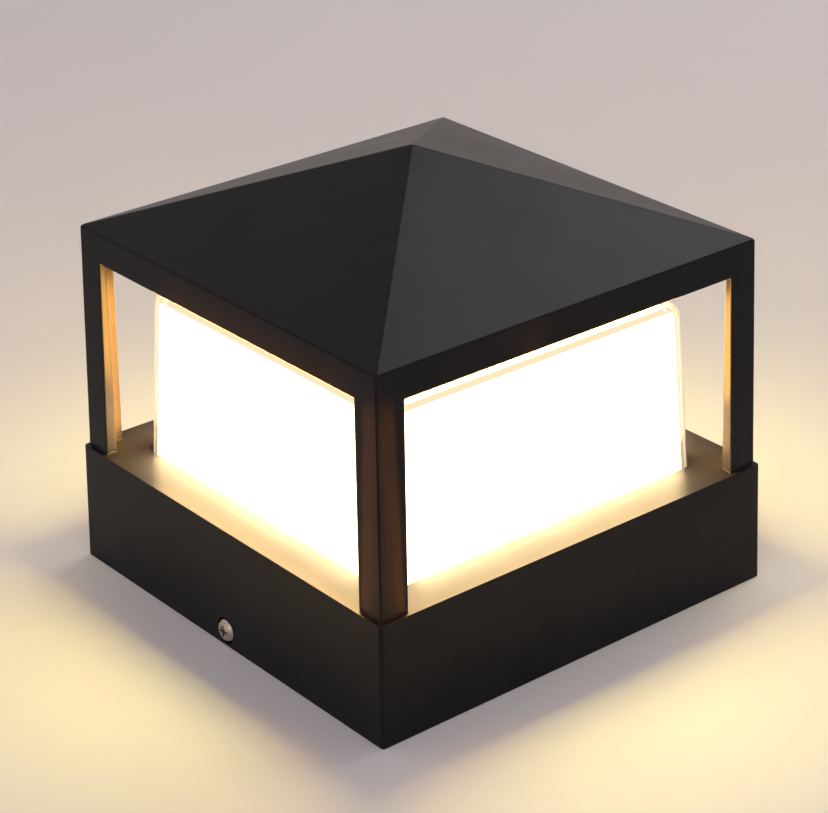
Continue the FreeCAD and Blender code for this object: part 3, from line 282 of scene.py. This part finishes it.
# Lantern frame: one aluminium casting, powder coated with the base and screwed down onto it, four
# drafted L-shaped legs under a low hipped roof. Its edges keep the small radius of the die.
frame_low, frame_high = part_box("lantern_frame")
FOOT = frame_low.z
FOOT_HALF = frame_high.x
EAVE = 150.5 * MM
EAVE_HALF = FOOT_HALF - (EAVE - FOOT) * DRAFT
ROOF_TIP_HALF = 0.8 * MM
INNER_HALF = FOOT_HALF - 5.2 * MM
INNER_CORNER = 5 * MM
HOLLOW_TOP = 148.44 * MM
ROOF_WALL_TOP = 183.78 * MM
LEG_WIDTH = 13.2 * MM
WINDOW_HALF = FOOT_HALF - LEG_WIDTH
WINDOW_TOP = 137.5 * MM
WINDOW_HEIGHT = WINDOW_TOP - FOOT
DIE_RADIUS = 0.7 * MM
DIE_ANGLE = math.radians(20)
QUARTER_TURN = math.pi / 2


def frame_mesh():
    """The casting as one closed skin, outside and hollow, before the windows are cut."""
    builder = bmesh.new()
    outside = [(ROOF_TIP_HALF, frame_high.z), (EAVE_HALF, EAVE), (FOOT_HALF, FOOT)]
    inside = [(INNER_HALF, FOOT), (INNER_HALF, HOLLOW_TOP), (ROOF_TIP_HALF, ROOF_WALL_TOP)]
    square_skin(builder, outside + inside)
    hollow = find_edges(builder, highest=HOLLOW_TOP + MM / 2, rise=50 * MM)
    round_off(builder, hollow, INNER_CORNER, 6)
    return builder


def window_tool(quarter):
    """A bar right through the lantern, a little narrower at the head, as the draft makes it."""
    head_half = WINDOW_HALF - WINDOW_HEIGHT * DRAFT
    below, reach = FOOT - 5 * MM, 2 * FOOT_HALF
    outline = [(-WINDOW_HALF, below), (WINDOW_HALF, below), (WINDOW_HALF, FOOT),
               (head_half, WINDOW_TOP), (-head_half, WINDOW_TOP), (-WINDOW_HALF, FOOT)]
    builder = bmesh.new()
    end = builder.faces.new([builder.verts.new((x, -reach, z)) for x, z in outline])
    far_side = bmesh.ops.extrude_face_region(builder, geom=[end])["geom"]
    moved = [part for part in far_side if isinstance(part, bmesh.types.BMVert)]
    bmesh.ops.translate(builder, verts=moved, vec=(0, 2 * reach, 0))
    turn = Matrix.Rotation(quarter * QUARTER_TURN, 3, "Z")
    bmesh.ops.rotate(builder, verts=builder.verts, matrix=turn)
    bmesh.ops.recalc_face_normals(builder, faces=builder.faces[:])
    return builder


def soften(piece, radius):
    """Rounds every sharp edge that is left with a small radius."""
    rounding = piece.modifiers.new("die_radius", "BEVEL")
    rounding.width = radius
    rounding.segments = 3
    rounding.limit_method = "ANGLE"
    rounding.angle_limit = DIE_ANGLE
    rounding.use_clamp_overlap = True


lantern = make_piece("lantern_casting", frame_mesh(), POWDER_COAT, "powder_coat_black",
                     "lantern_frame")
for quarter in range(2):
    cut_away(lantern, window_tool(quarter))
soften(lantern, DIE_RADIUS)
even_shading(lantern)

# Clear cover: a square box of clear acrylic, moulded with a draft, soft top edges and a flange
# that the base clamps from above. It shows as a bright outline around the lit liner, partly
# from a faint painted glow in the acrylic itself.
cover_low, cover_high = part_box("clear_cover")
COVER_DRAFT = math.tan(math.radians(2.8))
COVER_FOOT = 79.9 * MM
FLANGE_TOP = 47 * MM
COVER_WALL = 2.5 * MM
COVER_CORNER = 6 * MM
COVER_EDGE = 4 * MM
TALL = 20 * MM


def cover_mesh():
    """The box and its flange as one closed skin, open below."""
    builder = bmesh.new()
    top, inner_top = cover_high.z, cover_high.z - COVER_WALL
    foot_inner = COVER_FOOT - COVER_WALL + (FLANGE_TOP - cover_low.z) * COVER_DRAFT
    square_skin(builder, [
        (COVER_FOOT - (top - FLANGE_TOP) * COVER_DRAFT, top), (COVER_FOOT, FLANGE_TOP),
        (cover_high.x, FLANGE_TOP), (cover_high.x, cover_low.z),
        (foot_inner, cover_low.z),
        (foot_inner - (inner_top - cover_low.z) * COVER_DRAFT, inner_top),
    ])
    outside = find_edges(builder, lowest=FLANGE_TOP - MM / 2, rise=TALL)
    round_off(builder, outside, COVER_CORNER, 8)
    inside = find_edges(builder, highest=inner_top + MM / 2, rise=TALL)
    round_off(builder, inside, COVER_CORNER - COVER_WALL, 6)
    round_off(builder, find_edges(builder, lowest=top - MM / 10), COVER_EDGE, 6)
    return builder


def clear_acrylic():
    """Clear moulded acrylic: glassy and faintly wavy, with a faint painted glow for the light it
    pipes.
    """
    material, tree = new_material("clear_moulded_acrylic")
    # The weak warm emission is a painted glow, standing in for the liner's light carried in the
    # walls.
    shader = add_node(tree, "ShaderNodeBsdfPrincipled", {
        "Normal": grain_bump(tree, size_mm=14.0, height_mm=0.02, strength=0.05, detail=1.0),
    }, base_color=linear("#fffaf0"), roughness=0.03, ior=1.49, transmission_weight=1.0,
        emission_color=linear("#ffe2bc"), emission_strength=0.16)
    finish_material(tree, shader)
    material.cycles.emission_sampling = "NONE"
    return material


cover = make_piece("clear_acrylic_cover", cover_mesh(), clear_acrylic(), "clear_acrylic",
                   "clear_cover")
even_shading(cover)

# Opal liner: a plain drafted box of moulded opal acrylic that stands on the tray just inside the
# clear cover. The LED board under it lights it evenly, so all of it glows warm white.
liner_low, liner_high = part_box("opal_diffuser")
LINER_WALL = 2 * MM
LINER_CORNER = 3 * MM
LINER_EDGE = 1.5 * MM


def liner_mesh():
    """The box as one closed skin, open below."""
    builder = bmesh.new()
    top_half = liner_high.x - (liner_high.z - liner_low.z) * COVER_DRAFT
    outside = [(top_half, liner_high.z), (liner_high.x, liner_low.z)]
    inside = [(liner_high.x - LINER_WALL, liner_low.z),
              (top_half - LINER_WALL, liner_high.z - LINER_WALL)]
    square_skin(builder, outside + inside)
    round_off(builder, find_edges(builder, rise=TALL), LINER_CORNER, 6)
    round_off(builder, find_edges(builder, lowest=liner_high.z - MM / 10), LINER_EDGE, 4)
    return builder


def opal_acrylic():
    """Opal moulded acrylic lit from inside: warm white light out of a satin, cloudy surface."""
    material, tree = new_material("opal_acrylic_lit")
    shader = add_node(tree, "ShaderNodeBsdfPrincipled", {
        "Base Color": mottled(tree, 30.0, "#f8f2e4", "#fdf9ef"),
        "Normal": grain_bump(tree, size_mm=2.0, height_mm=0.01, strength=0.3),
    }, roughness=0.35, emission_color=linear("#ffe2b0"), emission_strength=5.0)
    finish_material(tree, shader)
    material.cycles.emission_sampling = "NONE"
    return material


liner = make_piece("opal_liner", liner_mesh(), opal_acrylic(), "opal_acrylic", "opal_diffuser")
even_shading(liner)


# Gaskets and grommets: pads under the four feet, a ring over the cover's flange, and the grommets
# of the leads and of the supply cable. All are moulded in black silicone and held by pressure.
def plain_polymer(name, low_hex, high_hex, roughness, patch_mm):
    """A moulded plastic or rubber: one even colour in soft patches, with a fine grain."""
    material, tree = new_material(name)
    shader = add_node(tree, "ShaderNodeBsdfPrincipled", {
        "Base Color": mottled(tree, patch_mm, low_hex, high_hex),
        "Normal": grain_bump(tree, size_mm=patch_mm / 8, height_mm=0.02, strength=0.5),
    }, roughness=roughness, ior=1.5)
    finish_material(tree, shader)
    return material


def finish_nodes(slot, material):
    """Gives every CAD node of one material slot its finish."""
    for subpart in frame["record"]["subparts"]:
        if subpart["material_slot"] == slot:
            wear(frame["nodes"][subpart["node"]], material)


# Silicone: dull black, with a wide and weak highlight.
finish_nodes("silicone_black",
             plain_polymer("silicone_rubber_black", "#141414", "#1c1c1c", 0.6, 6.0))


# Main screws: the two side screws, the four up into the legs and the four that hold the tray. They
# are turned from stainless steel, and the side screws' pan heads have a recess for the driver.
def plain_metal(name, low_hex, high_hex, roughness, patch_mm):
    """A bare or plated metal: a slightly uneven sheen on a very low grain."""
    material, tree = new_material(name)
    shader = add_node(tree, "ShaderNodeBsdfPrincipled", {
        "Base Color": mottled(tree, patch_mm, low_hex, high_hex),
        "Normal": grain_bump(tree, size_mm=patch_mm / 6, height_mm=0.01, strength=0.4),
    }, metallic=1.0, roughness=roughness)
    finish_material(tree, shader)
    return material


# Stainless steel: bright and slightly warm, with a tight highlight.
finish_nodes("stainless", plain_metal("turned_stainless_steel", "#b8b1a8", "#cbc4ba", 0.3, 3.0))

# Light engine: a board with 36 warm white chips, screwed to a tray that is pressed from sheet
# aluminium. The tray closes the base from below, clamps the cover and takes the heat.
# Mill finish sheet: pale and silky. Solder mask: clean, half-gloss white. Phosphor: glossy yellow.
finish_nodes("sheet_aluminium",
             plain_metal("mill_finish_aluminium_sheet", "#b4b6b8", "#c6c8ca", 0.38, 14.0))
finish_nodes("board_white", plain_polymer("white_solder_mask", "#e8e8e2", "#f0f0ea", 0.35, 9.0))
finish_nodes("led_yellow", plain_polymer("phosphor_silicone", "#e8c65a", "#f0d270", 0.3, 2.0))

# Driver: a potted aluminium extrusion with two nylon end caps, screwed under the tray, and the
# leads from it to the light engine and to the terminal block, with the earth lead.
# Anodised extrusion: darker, silky grey. Nylon: satin black. Insulation: half-gloss soft plastic.
finish_nodes("driver_aluminium",
             plain_metal("anodised_driver_extrusion", "#8c8f93", "#9ca0a4", 0.42, 10.0))
finish_nodes("black_nylon", plain_polymer("moulded_nylon_black", "#171718", "#1f1f20", 0.5, 5.0))
finish_nodes("lead_insulation", plain_polymer("lead_insulation", "#6e2f1c", "#7c3a24", 0.4, 5.0))
finish_nodes("earth_insulation",
             plain_polymer("earth_lead_insulation", "#4f8a1e", "#c3b423", 0.4, 5.0))

# Mounting: a plate pressed from zinc-plated steel, screwed to the post on a foam ring. It carries
# the terminal block and the earth lug. The small screws inside the light are zinc-plated too.
# Zinc: cool grey, soft sheen. Foam: dull dark grey. Polyamide: off-white. Brass and tin: bright.
finish_nodes("zinc_steel", plain_metal("zinc_plated_steel", "#a9acab", "#c2c3bf", 0.33, 8.0))
finish_nodes("foam_black", plain_polymer("closed_cell_foam", "#18181a", "#232326", 0.9, 3.0))
finish_nodes("terminal_white",
             plain_polymer("moulded_polyamide_white", "#d8d4c8", "#e2dfd4", 0.45, 6.0))
finish_nodes("brass", plain_metal("turned_brass", "#b8914c", "#cba862", 0.3, 3.0))
finish_nodes("tinned_copper", plain_metal("tinned_copper", "#b4b1a8", "#c7c4bb", 0.35, 3.0))

# Stage: a pale warm floor under a pale backdrop. The room's even light comes from the world, and
# the camera, gloss and glass see the backdrop in its place.
FLOOR_REACH = 6.0
floor_builder = bmesh.new()
bmesh.ops.create_grid(floor_builder, x_segments=1, y_segments=1, size=FLOOR_REACH)
floor_mesh = bpy.data.meshes.new("floor")
floor_builder.to_mesh(floor_mesh)
floor_builder.free()
floor = bpy.data.objects.new("floor", floor_mesh)
bpy.context.scene.collection.objects.link(floor)
floor_material, floor_tree = new_material("pale_floor")
floor_shader = add_node(floor_tree, "ShaderNodeBsdfPrincipled", base_color=linear("#e4d8c4"),
                        roughness=0.8, specular_ior_level=0.0)
finish_material(floor_tree, floor_shader)
wear(floor, floor_material)

world = bpy.data.worlds.new("studio")
bpy.context.scene.world = world
world.use_nodes = True
sky = world.node_tree
sky.nodes.clear()
room = add_node(sky, "ShaderNodeBackground", strength=0.8)
room.inputs["Color"].default_value = linear("#c2c3dc")
backdrop = add_node(sky, "ShaderNodeBackground", strength=1.0)
backdrop.inputs["Color"].default_value = linear("#c9beb8")
light_path = add_node(sky, "ShaderNodeLightPath")
seeing = light_path.outputs["Is Camera Ray"]
for kind in ("Is Glossy Ray", "Is Transmission Ray"):
    either = add_node(sky, "ShaderNodeMath", operation="MAXIMUM")
    sky.links.new(seeing, either.inputs[0])
    sky.links.new(light_path.outputs[kind], either.inputs[1])
    seeing = either.outputs[0]
mixed = add_node(sky, "ShaderNodeMixShader", {"Fac": seeing})
sky.links.new(room.outputs[0], mixed.inputs[1])
sky.links.new(backdrop.outputs[0], mixed.inputs[2])
sky.links.new(mixed.outputs[0], add_node(sky, "ShaderNodeOutputWorld").inputs["Surface"])


def soft_lamp(name, place, target, width, height, power, colour):
    """A rectangular lamp that the camera doesn't see, aimed at a point."""
    data = bpy.data.lights.new(name, "AREA")
    data.shape = "RECTANGLE"
    data.size, data.size_y = width, height
    data.energy = power
    data.color = linear(colour)[:3]
    lamp = bpy.data.objects.new(name, data)
    lamp.location = place
    lamp.rotation_euler = (Vector(target) - Vector(place)).to_track_quat("-Z", "Y").to_euler()
    lamp.visible_camera = False
    bpy.context.scene.collection.objects.link(lamp)
    return lamp


LAMP_AIM = (0, 0, 0.09)
soft_lamp("key_lamp", (-0.2, 1.6, 1.8), LAMP_AIM, width=1.2, height=1.2, power=15, colour="#f4f2f6")
soft_lamp("fill_lamp", (1.2, -1.0, 1.5), LAMP_AIM, width=1.5, height=1.5, power=8, colour="#e6e6ff")


# Glow: the light that the lit liner throws out through the clear cover. Each side has a soft lamp,
# a bright strip low down and two patches that only the paint mirrors, in planes a little apart
# because lamps in one plane hide each other. Each corner and the roof's hollow have their own.
def glow_lamp(name, place, way, width, height, radiance, colour, sheen=False, spread=180):
    """A lamp that stands for a patch of the lit liner, as it lights things or as they mirror it."""
    power = radiance * math.pi * width * height
    lamp = soft_lamp(name, place, place + way, width, height, power, colour)
    lamp.data.spread = math.radians(spread)
    lamp.visible_glossy = sheen
    lamp.visible_diffuse = not sheen
    lamp.visible_transmission = False


UP, FRONT, RIGHT = Vector((0, 0, 1)), Vector((0, -1, 0)), Vector((1, 0, 0))
GLOW_WIDTH = 2 * COVER_FOOT - 12 * MM
SIDE_GLOW = {"width": GLOW_WIDTH, "height": 42 * MM, "radiance": 17, "colour": "#fff3a0"}
SIDE_SHEEN = {"width": GLOW_WIDTH, "height": 48 * MM, "radiance": 70, "colour": "#ffb858",
              "sheen": True}
FOOT_SHEEN = {"width": GLOW_WIDTH, "height": 22 * MM, "radiance": 11, "colour": "#ffe4ae",
              "sheen": True}
FOOT_GLOW = {"width": GLOW_WIDTH - 14 * MM, "height": 4 * MM, "radiance": 520, "colour": "#ffdc9c"}
LEG_GLOW = {"width": 8 * MM, "height": 66 * MM, "radiance": 200, "colour": "#ffb050", "spread": 80}
CORNER_GLOW = {"width": 24 * MM, "height": 24 * MM, "radiance": 14, "colour": "#ffb44c",
               "spread": 110}
CORNER_REACH, CORNER_LEVEL = 118 * MM, 65 * MM
for quarter in range(4):
    turn = Matrix.Rotation(quarter * QUARTER_TURN, 3, "Z")
    way, slant = turn @ FRONT, turn @ (FRONT + RIGHT).normalized()
    # Each patch: the way it faces, its distance from the axis, its level, its size and light.
    patches = [
        (way, COVER_FOOT + 0.3 * MM, 75 * MM, SIDE_GLOW),
        (way, COVER_FOOT + 0.6 * MM, 98 * MM, SIDE_SHEEN),
        (way, COVER_FOOT + 0.6 * MM, 63 * MM, FOOT_SHEEN),
        (way, COVER_FOOT + 0.9 * MM, 54.5 * MM, FOOT_GLOW),
        (slant, 114 * MM, 90 * MM, LEG_GLOW),
    ]
    for step, (outward, reach, level, patch) in enumerate(patches):
        glow_lamp(f"glow_{quarter}_{step}", outward * reach + UP * level, outward, **patch)
    place = slant * CORNER_REACH + UP * CORNER_LEVEL
    glow_lamp(f"corner_glow_{quarter}", place, -UP, **CORNER_GLOW)

# Spill: the liner's light that goes round the right and left corners down to the floor.
SPILL_REACH, SPILL_LEVEL, SPILL_AIM = 156 * MM, 62 * MM, 185 * MM
SPILL_GLOW = {"width": 40 * MM, "height": 20 * MM, "colour": "#fff3a0"}
for side, radiance in ((1, 4), (-1, 2)):
    corner = Vector((side, side, 0)).normalized()
    place = corner * SPILL_REACH + UP * SPILL_LEVEL
    glow_lamp(f"spill_{side}", place, corner * SPILL_AIM - place, radiance=radiance, **SPILL_GLOW)

# Haze: the warm flare of the liner on the post and the fascia beside the two windows that face
# the camera, from thin strips along those edges. The lamp for the roof's hollow comes last.
HAZE_REACH = FOOT_HALF + 3 * MM
HAZE_THICKNESS = 2 * MM
HAZE_COLOUR = "#ff9a3c"
POST_HAZE = {"width": HAZE_THICKNESS, "height": WINDOW_HEIGHT, "radiance": 60, "spread": 110}
FASCIA_HAZE = {"width": 1.4 * WINDOW_HALF, "height": HAZE_THICKNESS, "radiance": 20}
for step, (way, along) in enumerate(((FRONT, RIGHT), (RIGHT, FRONT))):
    place = way * HAZE_REACH + along * (WINDOW_HALF - MM) + UP * (FOOT + WINDOW_HEIGHT / 2)
    glow_lamp(f"post_glow_{step}", place, along, colour=HAZE_COLOUR, **POST_HAZE)
    place = way * HAZE_REACH + along * WINDOW_HALF / 4 + UP * (WINDOW_TOP - MM)
    glow_lamp(f"fascia_glow_{step}", place, UP, colour=HAZE_COLOUR, **FASCIA_HAZE)
TOP_REACH = cover_high.z + 0.5 * MM
TOP_WIDTH = GLOW_WIDTH - 8 * MM
glow_lamp("top_glow", UP * TOP_REACH, UP, TOP_WIDTH, TOP_WIDTH, radiance=40, colour="#ffc878")

# Camera: where the photograph's edges put it, level but for a small roll.
CAMERA_PLACE = Vector((0.7516, -0.6066, 0.5436))
CAMERA_YAW, CAMERA_PITCH, CAMERA_ROLL = (math.radians(angle) for angle in (-51.16, 25.94, -1.13))
FOCAL_PIXELS, FRAME_WIDTH, SENSOR_WIDTH = 2634, 828, 36
forward = Vector((math.sin(CAMERA_YAW) * math.cos(CAMERA_PITCH),
                  math.cos(CAMERA_YAW) * math.cos(CAMERA_PITCH), -math.sin(CAMERA_PITCH)))
right = forward.cross(UP).normalized()
up = right.cross(forward)
rolled_right = right * math.cos(CAMERA_ROLL) + up * math.sin(CAMERA_ROLL)
rolled_up = up * math.cos(CAMERA_ROLL) - right * math.sin(CAMERA_ROLL)
camera_data = bpy.data.cameras.new("camera")
camera_data.sensor_width = SENSOR_WIDTH
camera_data.lens = FOCAL_PIXELS / FRAME_WIDTH * SENSOR_WIDTH
camera = bpy.data.objects.new("camera", camera_data)
turn = Matrix((rolled_right, rolled_up, -forward)).transposed().to_4x4()
camera.matrix_world = Matrix.Translation(CAMERA_PLACE) @ turn
bpy.context.scene.collection.objects.link(camera)
bpy.context.scene.camera = camera
bpy.context.scene.view_settings.view_transform = "Standard"
